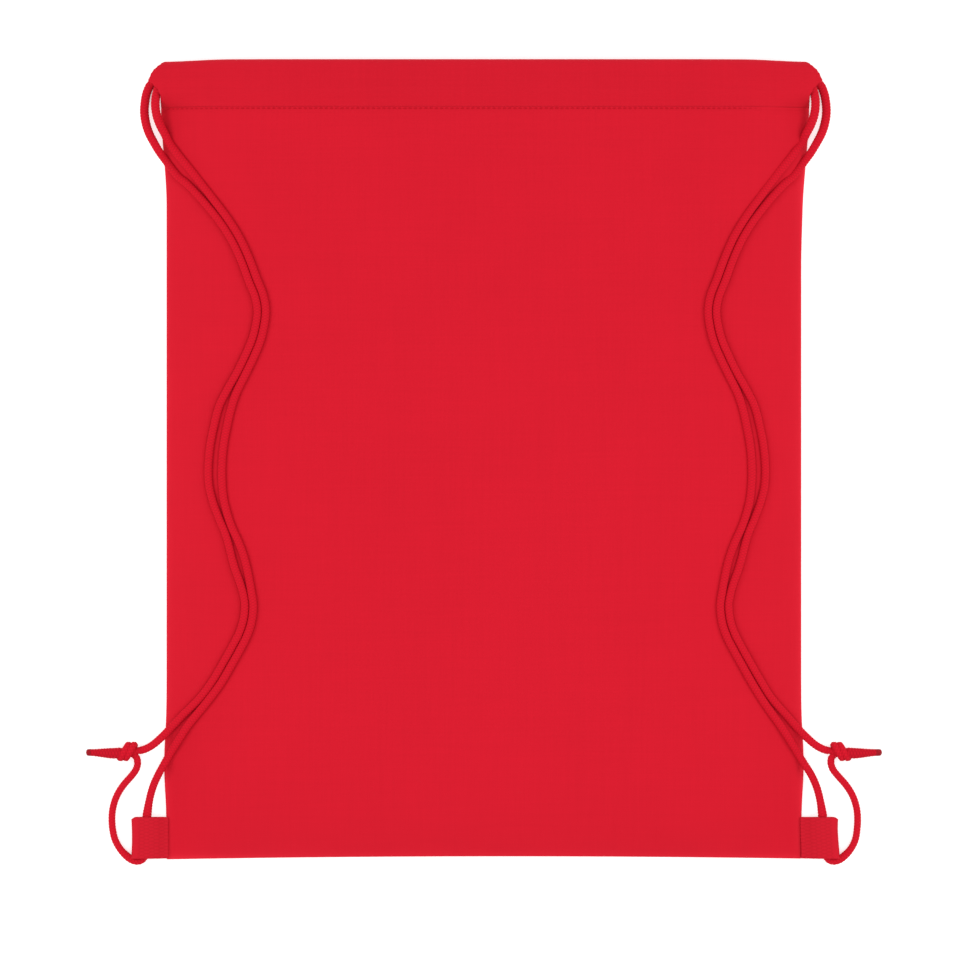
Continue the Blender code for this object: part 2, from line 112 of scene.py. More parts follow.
# ---- draw cords --------------------------------------------------------------------------
# Two 4 mm draw cords of braided polyester, one a side.  Each runs from its knot up the
# outer strand, through both hem casings, down the inner strand and through the webbing tab
# at the lower corner, back to the knot.  The strands lie slack on the front of the bag.
class Socket:
    """An output of a shader node, which can be used in arithmetic."""

    def __init__(self, finish, output):
        self.finish = finish
        self.output = output

    def _with(self, operation, other, swap=False):
        pair = (other, self) if swap else (self, other)
        return self.finish.node("Math", {"operation": operation}, dict(enumerate(pair)))

    def __add__(self, other):
        return self._with("ADD", other)

    def __sub__(self, other):
        return self._with("SUBTRACT", other)

    def __mul__(self, other):
        return self._with("MULTIPLY", other)

    def __rsub__(self, other):
        return self._with("SUBTRACT", other, swap=True)

    def __pow__(self, other):
        return self._with("POWER", other)

    def __abs__(self):
        return self.finish.node("Math", {"operation": "ABSOLUTE"}, {0: self})

    __radd__ = __add__
    __rmul__ = __mul__


class Finish:
    """A material being put together."""

    def __init__(self, name, **constants):
        self.material = bpy.data.materials.new(name)
        self.material.use_nodes = True
        self.nodes = self.material.node_tree.nodes
        self.links = self.material.node_tree.links
        self.shader = self.nodes["Principled BSDF"]
        for socket, value in constants.items():
            self.shader.inputs[socket.replace("_", " ")].default_value = value

    def fill(self, socket, value):
        if isinstance(value, Socket):
            self.links.new(value.output, socket)
        else:
            socket.default_value = value

    def node(self, kind, settings, sockets, output=0):
        """Any node, by its type, its settings, its sockets' values and the output wanted."""
        made = self.nodes.new("ShaderNode" + kind)
        for setting, value in settings.items():
            setattr(made, setting, value)
        for socket, value in sockets.items():
            self.fill(made.inputs[socket], value)
        return Socket(self, made.outputs[output])

    def show(self, **sockets):
        for socket, value in sockets.items():
            self.fill(self.shader.inputs[socket.replace("_", " ")], value)
        return self.material

    def place(self):
        return self.node("TexCoord", {}, {}, "Object")

    def axes(self):
        """The three coordinates of a point of the surface."""
        split = self.node("SeparateXYZ", {}, {"Vector": self.place()}, "X")
        node = split.output.node
        return split, Socket(self, node.outputs["Y"]), Socket(self, node.outputs["Z"])

    def scaled(self, stretch):
        """The place on the surface, stretched by a factor along each axis."""
        return self.node("VectorMath", {"operation": "MULTIPLY"},
                         {0: self.place(), 1: stretch})

    def grain(self, stretch, detail=2.0):
        """Noise from 0 to 1, of so many cycles per metre along each axis."""
        return self.node("TexNoise", {},
                         {"Vector": self.scaled(stretch), "Scale": 1.0, "Detail": detail})

    def wave(self, value, pitch):
        """Size of a sine of a length, 1 in the middle of each pitch and 0 between them."""
        return abs(self.node("Math", {"operation": "SINE"}, {0: value * (math.pi / pitch)}))

    def mix(self, factor, first, second):
        """One colour turning into another."""
        made = self.node("Mix", {"data_type": "RGBA"}, {0: factor}, 2)
        node = made.output.node
        self.fill(node.inputs[6], first)
        self.fill(node.inputs[7], second)
        return made

    def value(self, name):
        """A number kept with the points of the mesh."""
        return self.node("Attribute", {"attribute_name": name}, {}, "Fac")

    def relief(self, height, depth, under=None):
        """Bumps of so many metres."""
        sockets = {"Height": height, "Distance": depth, "Strength": 1.0}
        if under:
            sockets["Normal"] = under
        return self.node("Bump", {}, sockets)


# Painted shade: the cord's colour runs from BRAID_LIGHT on the crowns of the yarns to BRAID_DARK in the
# hollows between them, where shade falls. The fibre noise is the cord's own uneven tone.
BRAID_LIGHT = (0.575, 0.0054, 0.0185, 1.0)
BRAID_DARK = (0.345, 0.0032, 0.0110, 1.0)

braid = Finish("braided_cord", Roughness=0.8, Specular_IOR_Level=0.08)
hollow = braid.value("hollow")
fibre = braid.grain((2600.0, 2600.0, 2600.0))
braid_finish = braid.show(
    Base_Color=braid.mix(hollow ** 1.4 * 0.85 + (fibre - 0.5) * 0.25, BRAID_LIGHT, BRAID_DARK),
    Roughness=0.86 - 0.16 * fibre,
    Normal=braid.relief(fibre, 0.00006))

CORD = 0.0040
FABRIC = 0.0008
BAG_HALF_WIDTH = 0.1698
MOUTH_HALF_WIDTH = 0.1728
MOUTH_SPREAD_Y = 0.135       # the sides start to spread to the mouth here,
MOUTH_SPREAD = 0.055         # over this much
BAG_BOTTOM = -0.2135
STITCH_Y = 0.1884
SEAM_HEIGHT = 0.0015
PANEL_HEIGHT = 0.0134
CROWN = 0.0014               # extra height in the very middle,
CROWN_REACH = 0.19           # which dies away this far up and down
SWELL_POWER = 2.2            # how steeply the front rises from the seams,
SIDE_SWELL = 0.060           # over this much from the sides,
BOTTOM_SWELL = 0.050         # and over this much from the bottom
MOUTH_FULLER = 0.022         # the cords in the hem make the rise this much shorter
FULLER_Y = 0.125             # from here up,
FULLER_REACH = 0.050         # over this much


def ease(value):
    """Smooth step from 0 to 1."""
    t = min(max(value, 0.0), 1.0)
    return t * t * (3.0 - 2.0 * t)


def rise(distance, width):
    """0 at a seam, 1 where the swell is complete, steep first and then level."""
    t = min(max(distance / width, 0.0), 1.0)
    return 1.0 - (1.0 - t) ** SWELL_POWER


def half_width(y):
    """Distance from the middle to the side seam."""
    spread = ease((y - MOUTH_SPREAD_Y) / MOUTH_SPREAD)
    return BAG_HALF_WIDTH + (MOUTH_HALF_WIDTH - BAG_HALF_WIDTH) * spread


def front_height(x, y):
    """Height of the middle of the front ply above the surface, when smooth."""
    swell = SIDE_SWELL - MOUTH_FULLER * ease((y - FULLER_Y) / FULLER_REACH)
    sides = rise(half_width(y) - abs(x), swell)
    bottom = rise(y - BAG_BOTTOM, BOTTOM_SWELL)
    crown = CROWN * max(0.0, 1.0 - (y / CROWN_REACH) ** 2)
    return SEAM_HEIGHT + (PANEL_HEIGHT - SEAM_HEIGHT + crown) * sides * bottom


BROAD_RIPPLE = 0.0007        # height of the broad swells of the slack cloth
SEAM_PULL = 0.0006           # height of the short pulls along the seams
PULL_REACH = 0.012           # how far the pulls run in from a seam


def ripple(x, y):
    """Slack left in the cloth: broad soft swells, and short pulls along the seams."""
    broad = noise.noise(Vector((x * 13.0, y * 9.0, 4.7))) * BROAD_RIPPLE
    to_side = half_width(y) - abs(x)
    to_bottom = y - BAG_BOTTOM
    side_pull = (noise.noise(Vector((x * 20.0, y * 95.0, 1.3)))
                 * math.exp(-to_side / PULL_REACH))
    bottom_pull = (noise.noise(Vector((x * 90.0, y * 20.0, 2.9)))
                   * math.exp(-to_bottom / PULL_REACH))
    settle = ease(min(to_side, to_bottom) / 0.004)
    return (broad * ease(min(to_side, to_bottom) / 0.05)
            + SEAM_PULL * settle * (side_pull + bottom_pull))


def cloth_height(x, y):
    """Height of the middle of the front ply as it lies under the cords."""
    return front_height(x, y) + ripple(x, y) - pressed_in(x, y)


# (distance out, y, half the distance between the two strands)
PAIR_ROUTE = [
    (0.1615, 0.1542, 0.0037), (0.1564, 0.1488, 0.0030), (0.1479, 0.1384, 0.0024),
    (0.1398, 0.1274, 0.0022), (0.1338, 0.1172, 0.0022), (0.1291, 0.1065, 0.0022),
    (0.1251, 0.0957, 0.0022), (0.1217, 0.0871, 0.0022), (0.1204, 0.0796, 0.0022),
    (0.1211, 0.0721, 0.0022), (0.1232, 0.0635, 0.0022), (0.1267, 0.0550, 0.0022),
    (0.1314, 0.0453, 0.0022), (0.1362, 0.0362, 0.0025), (0.1400, 0.0271, 0.0032),
    (0.1425, 0.0169, 0.0034), (0.1444, 0.0067, 0.0035), (0.1453, -0.0040, 0.0036),
    (0.1451, -0.0137, 0.0035), (0.1435, -0.0228, 0.0029), (0.1408, -0.0314, 0.0024),
    (0.1381, -0.0383, 0.0022), (0.1358, -0.0442, 0.0026), (0.1336, -0.0512, 0.0031),
    (0.1316, -0.0582, 0.0031), (0.1296, -0.0652, 0.0026), (0.1280, -0.0721, 0.0022),
    (0.1271, -0.0786, 0.0022), (0.1279, -0.0866, 0.0022), (0.1303, -0.0941, 0.0022),
    (0.1341, -0.1016, 0.0022), (0.1389, -0.1102, 0.0022), (0.1445, -0.1199, 0.0022),
    (0.1510, -0.1295, 0.0022),
]
# (distance out, y, z); a z of None means that the cord lies on the front of the bag there
OUTER_TOP = [
    (0.1680, 0.2020, 0.0032), (0.1737, 0.2026, 0.0032), (0.1783, 0.2008, 0.0031),
    (0.1806, 0.1965, 0.0029), (0.1817, 0.1912, 0.0027), (0.1820, 0.1855, 0.0028),
    (0.1811, 0.1797, 0.0032), (0.1794, 0.1745, 0.0038), (0.1768, 0.1695, 0.0045),
    (0.1739, 0.1646, 0.0051), (0.1706, 0.1600, None),
]
INNER_TOP = [
    (0.1680, 0.2018, 0.0085), (0.1717, 0.2010, 0.0077), (0.1743, 0.1985, 0.0074),
    (0.1757, 0.1938, 0.0072), (0.1759, 0.1884, 0.0071), (0.1750, 0.1832, 0.0069),
    (0.1733, 0.1786, 0.0066), (0.1710, 0.1742, 0.0063), (0.1688, 0.1697, None),
    (0.1653, 0.1648, None), (0.1612, 0.1596, None),
]
OUTER_BOTTOM = [
    (0.1615, -0.1377, None), (0.1649, -0.1415, None), (0.1686, -0.1454, None),
    (0.1728, -0.1496, 0.0046), (0.1772, -0.1534, 0.0043), (0.1814, -0.1558, 0.0042),
    (0.1846, -0.1567, 0.0042),
]
INNER_BOTTOM = [
    (0.1572, -0.1413, None), (0.1604, -0.1459, None), (0.1633, -0.1504, None),
    (0.1662, -0.1550, None), (0.1690, -0.1597, None), (0.1717, -0.1645, 0.0046),
    (0.1743, -0.1692, 0.0038), (0.1767, -0.1743, 0.0032), (0.1784, -0.1794, 0.0031),
    (0.1796, -0.1848, 0.0033), (0.1804, -0.1900, 0.0035), (0.1808, -0.1940, 0.0036),
]
LOWER_LOOP = [
    (0.1808, -0.1940, 0.0036), (0.1808, -0.2000, 0.0036), (0.1809, -0.2055, 0.0036),
    (0.1812, -0.2103, 0.0036), (0.1821, -0.2136, 0.0035), (0.1838, -0.2154, 0.0032),
    (0.1862, -0.2159, 0.0029), (0.1888, -0.2152, 0.0025), (0.1914, -0.2134, 0.0022),
    (0.1942, -0.2106, 0.0021), (0.1966, -0.2071, 0.0021), (0.1982, -0.2033, 0.0021),
    (0.1991, -0.1989, 0.0021), (0.1995, -0.1939, 0.0021), (0.1991, -0.1884, 0.0021),
    (0.1977, -0.1831, 0.0021), (0.1955, -0.1785, 0.0021), (0.1925, -0.1743, 0.0022),
    (0.1893, -0.1707, 0.0026), (0.1866, -0.1671, 0.0033), (0.1856, -0.1638, 0.0040),
    (0.1857, -0.1616, 0.0042),
]
# (y, distance to the right), for each side
LEAN = {-1: [(-0.145, 0.0), (-0.115, 0.0016), (0.100, 0.0016), (0.160, 0.0)],
        1: [(-0.212, 0.0021), (-0.195, 0.0013), (-0.172, 0.0013), (-0.158, 0.0005),
            (-0.145, 0.0006), (-0.115, 0.0018), (0.100, 0.0020), (0.190, 0.0020)]}
CROSSING_Y = 0.150           # outside the side seam a cord keeps the height it has here
PRESSED = 0.75               # share of its height that a cord keeps as it lies on the bag
CORD_REST = 0.0003           # gap between a cord and the cloth it lies on
STRAND_START = 0.156         # inside the hem, where the strands take over from the runs
TRACKS = (0.1987, 0.2043)    # the two cords lie side by side in a casing
SIDES = {"left": -1, "right": 1}
BRAID_AROUND = 32            # points round the cord
BRAID_ROWS = 6               # rings of points in one pitch of the braid
BRAID_PITCH = 0.0016
BRAID_PAIRS = 4              # yarns that wind each way
YARN_RELIEF = 0.00020        # from the crowns of the yarns to the hollows


def braid_level(angle, along):
    """0 in the hollows between the yarns of a plain braid, 1 on their crowns."""
    turn = angle * BRAID_PAIRS / math.tau
    step = along / BRAID_PITCH
    one, other = turn + step, turn - step
    across = math.sin(math.pi * (one - math.floor(one)))
    lengthways = math.sin(math.pi * (other - math.floor(other)))
    if (math.floor(one) + math.floor(other)) % 2:
        across, lengthways = lengthways, across
    return max(across, 0.0) ** 0.7 * max(lengthways, 0.0) ** 0.3


BRAID = [[braid_level(math.tau * (k + 0.5) / BRAID_AROUND, BRAID_PITCH * row / BRAID_ROWS)
          for k in range(BRAID_AROUND)] for row in range(BRAID_ROWS)]


def shift(side, y):
    """How far to the right of their mirror places the cords of a side lie."""
    table = LEAN[side]
    for (y0, lean0), (y1, lean1) in zip(table, table[1:]):
        if y <= y1:
            return lean0 + (lean1 - lean0) * ease((y - y0) / (y1 - y0))
    return table[-1][1]


def lie_on_front(x, y):
    """Height of a cord's middle where it lies on the front of the bag."""
    if abs(x) > BAG_HALF_WIDTH:
        y = min(y, CROSSING_Y)
    return cloth_height(x, y) + FABRIC / 2 + CORD * PRESSED / 2 + CORD_REST


def placed(points, side):
    """Route points of one side as places, lying on the front where z is None."""
    places = []
    for out, y, z in points:
        x = side * out + shift(side, y)
        places.append(Vector((x, y, lie_on_front(x, y) if z is None else z)))
    return places


def pair_strand(sign):
    """Route of one strand of the pair: sign is +1 for the outer, -1 for the inner one."""
    route = []
    for i, (out, y, half_gap) in enumerate(PAIR_ROUTE):
        before = PAIR_ROUTE[max(i - 1, 0)]
        after = PAIR_ROUTE[min(i + 1, len(PAIR_ROUTE) - 1)]
        along = Vector((after[0] - before[0], after[1] - before[1])).normalized()
        route.append((out - sign * along.y * half_gap, y + sign * along.x * half_gap, None))
    return route


def smooth_line(points, step=0.001):
    """A dense line along a smooth curve through the points (Catmull-Rom)."""
    pts = [Vector(p) for p in points]
    pts = [2 * pts[0] - pts[1]] + pts + [2 * pts[-1] - pts[-2]]
    line = []
    for i in range(1, len(pts) - 2):
        before, start, end, after = pts[i - 1:i + 3]
        count = max(2, round((end - start).length / step))
        for k in range(count):
            t = k / count
            line.append(0.5 * (2 * start + (end - before) * t
                               + (2 * before - 5 * start + 4 * end - after) * t ** 2
                               + (3 * start - before - 3 * end + after) * t ** 3))
    line.append(pts[-2])
    return line


def line_length(line):
    return sum((b - a).length for a, b in zip(line, line[1:]))


def spaced(line, spacing):
    """Points about one spacing apart along a line, with both ends kept."""
    total = line_length(line)
    count = max(2, round(total / spacing))
    result = [line[0]]
    passed = 0.0
    for a, b in zip(line, line[1:]):
        piece = (b - a).length
        while len(result) < count and passed + piece >= total * len(result) / count:
            result.append(a.lerp(b, (total * len(result) / count - passed) / piece))
        passed += piece
    result.append(line[-1])
    return result


PRESS_DEPTH = 0.0013         # the strands sink this deep into the slack cloth,
PRESS_REACH = 0.0023         # in a hollow of this half width,
PRESS_ENDS = (-0.150, 0.165)     # between these two heights up the bag,
PRESS_FADE = 0.015           # and fade in and out over this much
PRESS_STEP = 0.0005          # height up the bag between the places kept in STRANDS


def strand_places(side, sign):
    """Where a strand lies, as its x and how upright it runs, at each step up the bag."""
    top, bottom = (OUTER_TOP, OUTER_BOTTOM) if sign > 0 else (INNER_TOP, INNER_BOTTOM)
    route = [(side * out + shift(side, y), y, 0.0)
             for out, y, z in top + pair_strand(sign) + bottom if z is None]
    line = smooth_line(route, PRESS_STEP / 2)
    return {round(a.y / PRESS_STEP): (a.x, abs(b.y - a.y) / (b - a).length)
            for a, b in zip(line, line[1:])}


def pressed_in(x, y):
    """How deep the strands of this side press the cloth in."""
    fade = ease((y - PRESS_ENDS[0]) / PRESS_FADE) * ease((PRESS_ENDS[1] - y) / PRESS_FADE)
    depth = 0.0
    for places in STRANDS[x > 0]:
        middle, upright = places.get(round(y / PRESS_STEP), (0.0, 1.0))
        depth += math.exp(-((x - middle) * upright / PRESS_REACH) ** 2)
    return PRESS_DEPTH * fade * min(depth, 1.0)


STRANDS = [[strand_places(side, sign) for sign in (1, -1)] for side in (-1, 1)]


class Shape:
    """Points and faces of a mesh being put together, with a number for each point."""

    def __init__(self):
        self.points = []
        self.faces = []
        self.levels = []

    def tube(self, rings, levels):
        """Closes a tube round rings of as many points each."""
        start, size = len(self.points), len(rings[0])
        for ring, level in zip(rings, levels):
            self.points += ring
            self.levels += level
        for r in range(len(rings) - 1):
            for k in range(size):
                a, b = start + r * size + k, start + r * size + (k + 1) % size
                self.faces.append((a, b, b + size, a + size))
        last = start + (len(rings) - 1) * size
        self.faces.append(tuple(range(start + size - 1, start - 1, -1)))
        self.faces.append(tuple(range(last, last + size)))

    def piece(self, name, finish, slot, attribute="hollow"):
        """Makes the object, and gives it its finish; slot is not used."""
        mesh = bpy.data.meshes.new(name)
        mesh.from_pydata(self.points, [], self.faces)
        if self.levels:
            mesh.attributes.new(attribute, "FLOAT", "POINT")
            mesh.attributes[attribute].data.foreach_set("value", self.levels)
        mesh.shade_smooth()
        for face in mesh.polygons:
            face.use_smooth = len(face.vertices) == 4
        mesh.materials.append(finish)
        obj = bpy.data.objects.new(name, mesh)
        scene.collection.objects.link(obj)
        return obj


def braided_rings(line, first, last, section, soiled=0.0):
    """Rings of a braided cord round part of a line of points one braid row apart."""
    rings, levels = [], []
    for i in range(first, last + 1):
        here = line[i]
        along = (line[min(i + 1, len(line) - 1)] - line[max(i - 1, 0)]).normalized()
        lateral = along.cross(Vector((0.0, 0.0, 1.0)))
        if lateral.length < 0.2:
            lateral = along.cross(Vector((0.0, 1.0, 0.0)))
        lateral.normalize()
        up = lateral.cross(along)
        width, height = section(here)
        proud = YARN_RELIEF / 3
        row = BRAID[i % BRAID_ROWS]
        ring = []
        for k, level in enumerate(row):
            angle = math.tau * (k + 0.5) / BRAID_AROUND
            sunk = YARN_RELIEF * (1.0 - level)
            ring.append(here + lateral * ((width / 2 + proud - sunk) * math.cos(angle))
                        - up * ((height / 2 + proud - sunk) * math.sin(angle)))
        rings.append(ring)
        # The depth of the hollows is kept with the points, so that the finish can paint the hollows darker
        # as shade.
        levels.append([min(1.0 - level + soiled, 1.0) for level in row])
    return rings, levels


def run_of(line, keep):
    """First and last place in the longest part of a line whose points pass the test."""
    best, start = (0, 0), None
    for i, point in enumerate([*line, None]):
        if point is not None and keep(point):
            start = i if start is None else start
        elif start is not None:
            if i - 1 - start > best[1] - best[0]:
                best = (start, i - 1)
            start = None
    return best


def cord_piece(name, line, keep, section, *nodes):
    """One length of a cord as a piece that stands for CAD nodes, and the line it follows."""
    first, last = run_of(line, keep)
    last = min(last + 1, len(line) - 1)
    shape = Shape()
    shape.tube(*braided_rings(line, first, last, section))
    obj = shape.piece(name, braid_finish, "cord")
    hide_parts(*nodes)
    return obj, line[first:last + 1]


def free_cord(obj, line, far_end, with_pieces=()):
    """Works out the length of a cord's line and a thinned copy of its points, and keeps neither."""
    line_length(line)
    line[::6] + [line[-1]]


ON_BAG_WIDTH = 1.08          # widths and heights of the cord, as shares of its diameter
MOUTH_WIDER = 0.10
LOW_SLIMMER = 0.06
TAB_WIDER = 0.22
LOW_FLATTER = 0.10
LOOP_WIDTH, LOOP_BUNCHED, LOOP_HEIGHT = 0.93, 0.14, 0.88


def strand_section(place):
    """Width and height of a strand: flattened on the bag, and slimmer at the lower corners."""
    y = place.y
    on_bag = ease((0.176 - y) / 0.016) * ease((y + 0.170) / 0.012)
    low = ease((-0.140 - y) / 0.020)
    at_tab = ease((-0.182 - y) / 0.012)
    at_mouth = ease((y - 0.160) / 0.020)
    return (CORD * (ON_BAG_WIDTH + MOUTH_WIDER * at_mouth - LOW_SLIMMER * low
                    + TAB_WIDER * at_tab),
            CORD * (1.0 - (1.0 - PRESSED) * on_bag - LOW_FLATTER * low * (1.0 - on_bag)))


def loop_section(place):
    """Width and height of the loop, which bunches up where it turns under the tab."""
    bunched = ease((-0.2080 - place.y) / 0.007)
    return CORD * (LOOP_WIDTH + LOOP_BUNCHED * bunched), CORD * LOOP_HEIGHT


KNOT_STEPS = 60
KNOT_TURNS = (0.25, 2.25)    # the wound part starts and ends underneath
KNOT_OUT, KNOT_Y, KNOT_Z = 0.1874, -0.1571, 0.0046
KNOT_DRIFT = 0.0030          # outward for each turn
KNOT_SLANT = 0.0015          # outward and back within a turn
KNOT_REACH = 0.0035          # up and down the bag from the middle of the knot
KNOT_LIFT = -0.0027          # off the surface: the turns start downwards
KNOT_UPPER = [(0.1838, -0.1564, 0.0042), (0.1868, -0.1570, 0.0044), (0.1910, -0.1570, 0.0046),
              (0.1950, -0.1572, 0.0060), (0.1975, -0.1574, 0.0064)]
KNOT_LOWER = [(0.1856, -0.1632, 0.0042), (0.1861, -0.1606, 0.0042), (0.1885, -0.1584, 0.0040),
              (0.1930, -0.1576, 0.0026), (0.1975, -0.1575, 0.0022)]
UPPER_TAIL = [(0.1945, -0.1578, 0.0062), (0.1985, -0.1580, 0.0064), (0.2030, -0.1579, 0.0061),
              (0.2080, -0.1577, 0.0058), (0.2132, -0.1576, 0.0057)]
LOWER_TAIL = [(0.1945, -0.1580, 0.0024), (0.1985, -0.1582, 0.0021), (0.2030, -0.1581, 0.0020),
              (0.2080, -0.1579, 0.0019), (0.2124, -0.1577, 0.0019)]
TAIL_SOIL = 0.40             # the cut ends are darker than the rest of the cord
SEAL_START = 0.2108          # from here to the tip the yarns are melted together
BRAID_STEP = BRAID_PITCH / BRAID_ROWS


ROUTE_STEP = 0.0004          # between the points of a knot's or a cut end's route
WOUND_SIZE = (0.0037, 0.0034)    # width and height of the cord pulled tight in the knot
TAIL_SIZE = (0.0057, 0.0041)     # and of a cut end where it leaves the knot
TAIL_SLIMS = (0.0021, 0.0005)    # how much a cut end slims by its tip
TAIL_OUT, TAIL_REACH = 0.1975, 0.014


def wound_section(place):
    return WOUND_SIZE


def tail_section(place):
    """A cut end is flattened where it leaves the knot and slims towards its tip."""
    fade = ease((abs(place.x) - TAIL_OUT) / TAIL_REACH)
    return TAIL_SIZE[0] - TAIL_SLIMS[0] * fade, TAIL_SIZE[1] - TAIL_SLIMS[1] * fade


ROUND_OFF = 0.60             # the share of a melted end that isn't rounded off to its tip
LUMPS = 0.05                 # unevenness of a melted end, as a share of its size
SEAL_SWELL = 0.04


def melted_rings(line, first):
    """Rings of the hard melted end, which rounds off to a blunt tip."""
    rings, levels = [], []
    last = len(line) - 1
    for i in range(first, last + 1):
        t = (i - first) / (last - first)
        width, height = tail_section(line[i])
        round_off = math.sqrt(max(1.0 - (max(t - ROUND_OFF, 0.0) / 0.41) ** 2, 0.02))
        swell = 1.0 + SEAL_SWELL * math.sin(math.pi * min(t * 1.5, 1.0))
        ring = []
        for k in range(BRAID_AROUND):
            angle = math.tau * (k + 0.5) / BRAID_AROUND
            lump = 1.0 + LUMPS * noise.noise(Vector((i * 0.9, 2.1 * math.cos(angle),
                                                     2.1 * math.sin(angle))))
            reach = round_off * swell * lump
            ring.append(line[i] + Vector((0.0, width / 2 * reach * math.cos(angle),
                                          height / 2 * reach * math.sin(angle))))
        rings.append(ring if line[-1].x > 0 else ring[::-1])
        levels.append([t] * BRAID_AROUND)
    return rings, levels


SEAL_DARK = (0.17, 0.0020, 0.0055, 1.0)
SEAL_LIGHT = (0.36, 0.0038, 0.0120, 1.0)

seal = Finish("melted_cord_end", Roughness=0.55, Specular_IOR_Level=0.12)
burn = seal.grain((900.0, 900.0, 900.0))
seal_finish = seal.show(
    Base_Color=seal.mix(burn, SEAL_DARK, SEAL_LIGHT),
    Roughness=0.45 + 0.25 * burn,
    Normal=seal.relief(burn, 0.00015))

MID_STRAP = 0.0              # the upper and lower halves of a strap meet here
STRAP_TOP = 0.1740           # above this the inner strand belongs to the hem
EDGE_OUT = 0.1720            # past this the strands belong to the lower corner


def above_middle(place):
    return place.y > MID_STRAP


def upper_strap(place):
    return MID_STRAP < place.y <= STRAP_TOP


def above_strap(place):
    return place.y > STRAP_TOP


def below_middle(place):
    return place.y <= MID_STRAP and abs(place.x) < EDGE_OUT


def past_edge(place):
    return place.y < MID_STRAP and abs(place.x) >= EDGE_OUT


def strand_length(side_name, name, line, keep, nodes):
    """A length of a strand, made as a piece with its place baked into its mesh."""
    obj, path = cord_piece(side_name + "_" + name, line, keep, strand_section,
                           *(side_name + "_" + node for node in nodes))
    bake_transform(obj)
    return obj, path


for side_name, side in SIDES.items():
    low_track, high_track = TRACKS if side > 0 else TRACKS[::-1]
    outer = spaced(smooth_line(
        placed([(STRAND_START, high_track, 0.0032)] + OUTER_TOP + pair_strand(1) + OUTER_BOTTOM,
               side)), BRAID_STEP)
    inner = spaced(smooth_line(
        placed([(STRAND_START, low_track, 0.0105)] + INNER_TOP + pair_strand(-1) + INNER_BOTTOM,
               side)), BRAID_STEP)
    loop = spaced(smooth_line(placed(LOWER_LOOP, side)), BRAID_STEP)
    strap, corner = side_name + "_strap", side_name + "_corner"

    free_cord(*strand_length(
        side_name, "outer_cord_upper", outer, above_middle, ["outer_strand_top", "outer_strand"]), "object")
    end_piece, _ = strand_length(
        side_name, "outer_cord_end", outer, past_edge, ["outer_strand_end"])
    free_cord(*strand_length(
        side_name, "outer_cord_lower", outer, below_middle, ["outer_strand_low"]),
        "object", with_pieces=[end_piece])
    free_cord(*strand_length(
        side_name, "inner_cord_exit", inner, above_strap, ["inner_strand_exit"]), "object")
    free_cord(*strand_length(
        side_name, "inner_cord_upper", inner, upper_strap, ["inner_strand_top", "inner_strand"]), "object")
    free_cord(*strand_length(
        side_name, "inner_cord_lower", inner, below_middle, ["inner_strand_low"]), "object")
    free_cord(*strand_length(
        side_name, "inner_cord_end", inner, past_edge, ["inner_strand_end"]), "object")
    loop_piece, loop_line = cord_piece(side_name + "_loop_cord", loop, lambda place: True,
                                       loop_section, side_name + "_lower_loop")
    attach(loop_piece, corner)

    # The knot that closes the cord: both ends wound aslant round each other, pulled tight.
    knot = Shape()
    winds = []
    for k in range(KNOT_STEPS + 1):
        turn = KNOT_TURNS[0] + (KNOT_TURNS[1] - KNOT_TURNS[0]) * k / KNOT_STEPS
        angle = math.tau * turn
        winds.append((KNOT_OUT + KNOT_DRIFT * turn + KNOT_SLANT * math.cos(angle),
                      KNOT_Y - KNOT_REACH * math.cos(angle),
                      KNOT_Z + KNOT_LIFT * math.sin(angle)))
    wound = spaced(smooth_line(placed(winds, side), ROUTE_STEP), BRAID_STEP)
    knot.tube(*braided_rings(wound, 0, len(wound) - 1, wound_section))
    for route in (KNOT_UPPER, KNOT_LOWER):
        core = spaced(smooth_line(placed(route, side), ROUTE_STEP), BRAID_STEP)
        knot.tube(*braided_rings(core, 0, len(core) - 1, wound_section))
    knot_piece = knot.piece(side_name + "_cord_knot", braid_finish, "cord")
    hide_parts(side_name + "_knot")
    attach(knot_piece, corner)

    ends = []
    for level, route in (("lower", LOWER_TAIL), ("upper", UPPER_TAIL)):
        tail_line = spaced(smooth_line(placed(route, side), ROUTE_STEP), BRAID_STEP)
        last = run_of(tail_line, lambda p: abs(p.x) < SEAL_START)[1]
        tail = Shape()
        tail.tube(*braided_rings(tail_line, 0, last, tail_section, TAIL_SOIL))
        tail_piece = tail.piece(side_name + "_" + level + "_cut_end", braid_finish, "cord")
        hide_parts(side_name + "_" + level + "_tail")
        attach(tail_piece, corner)
        tip = Shape()
        tip.tube(*melted_rings(tail_line, last - 1))
        tip_piece = tip.piece(side_name + "_" + level + "_melted_tip", seal_finish, "sealed_tip")
        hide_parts(side_name + "_" + level + "_sealed_tip")
        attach(tip_piece, corner)
        ends += [tail_piece, tip_piece]
    free_cord(loop_piece, loop_line, "knot", with_pieces=[knot_piece, *ends])


# ---- cloth of the bag --------------------------------------------------------------------
# The bag is one ply of plain-woven polyester at the front and one at the back, sewn inside
# out down both sides and along the bottom and then turned, so its edges are soft rolls.
PANEL_RED = (0.583, 0.0058, 0.0198, 1.0)
PANEL_SHADE = (0.478, 0.0040, 0.0148, 1.0)
PANEL_WORN = (0.640, 0.0110, 0.0280, 1.0)
THREAD_PITCH = 0.00052       # from one thread of the weave to the next


